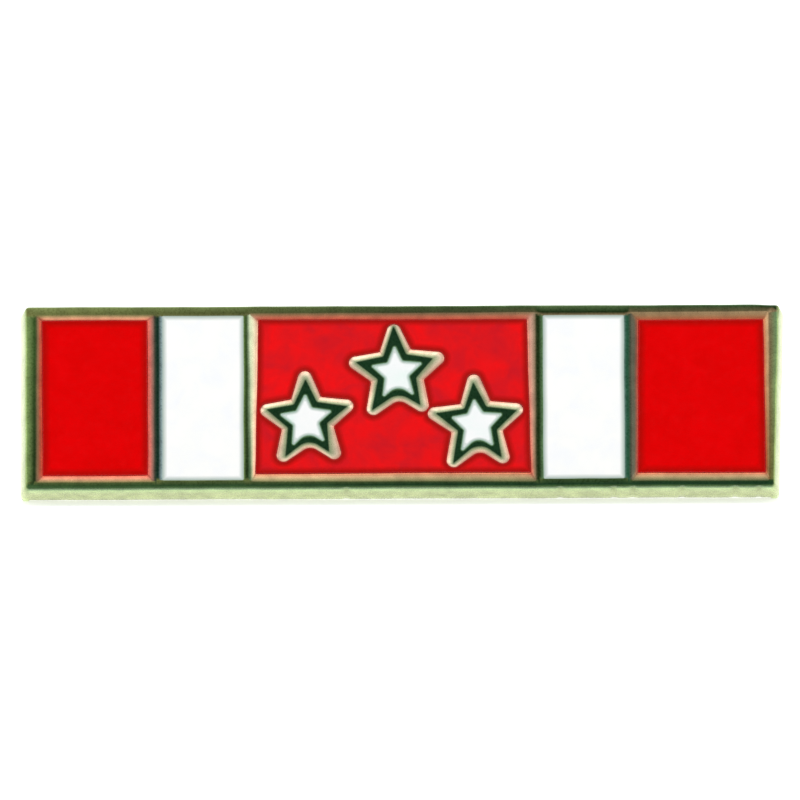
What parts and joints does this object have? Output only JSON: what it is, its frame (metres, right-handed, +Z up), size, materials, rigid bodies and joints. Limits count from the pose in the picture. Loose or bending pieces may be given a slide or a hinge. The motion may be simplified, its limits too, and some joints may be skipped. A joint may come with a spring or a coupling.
{
  "type": "ribbon bar",
  "caption": "Flat award bar pin: red and white enamel fields between raised gold walls, outlined stars in the middle field, and pointed posts on the back.",
  "frame": {"origin": "on the surface it stands on, under the middle of the bar's box; the bar leans back on its lower back edge and on the tips of its two posts", "axes": "+X along the bar to the wearer's left as the face is seen, +Z up, and the face looks towards -Y and upwards"},
  "size_m": [0.035, 0.0108, 0.0088],
  "materials": {
    "gold_plate": "thin gold plate, polished on the wall tops and softly grained on the sides and back",
    "red_enamel": "glossy opaque red enamel, darker where it thins against the walls",
    "crimson_enamel": "glossy opaque red enamel, slightly crimson and faintly mottled",
    "white_enamel": "glossy opaque white enamel, flush with the walls",
    "post_metal": "drawn gold-plated wire with a turned foot"
  },
  "bodies": {
    "root": {"struck_bar": "gold_plate", "enamel_red_left": "red_enamel", "enamel_white_left": "white_enamel", "enamel_red_center": "crimson_enamel", "enamel_white_right": "white_enamel", "enamel_red_right": "red_enamel", "star_left": "white_enamel", "star_top": "white_enamel", "star_right": "white_enamel", "post_left": "post_metal", "post_right": "post_metal"}
  },
  "joints": []
}
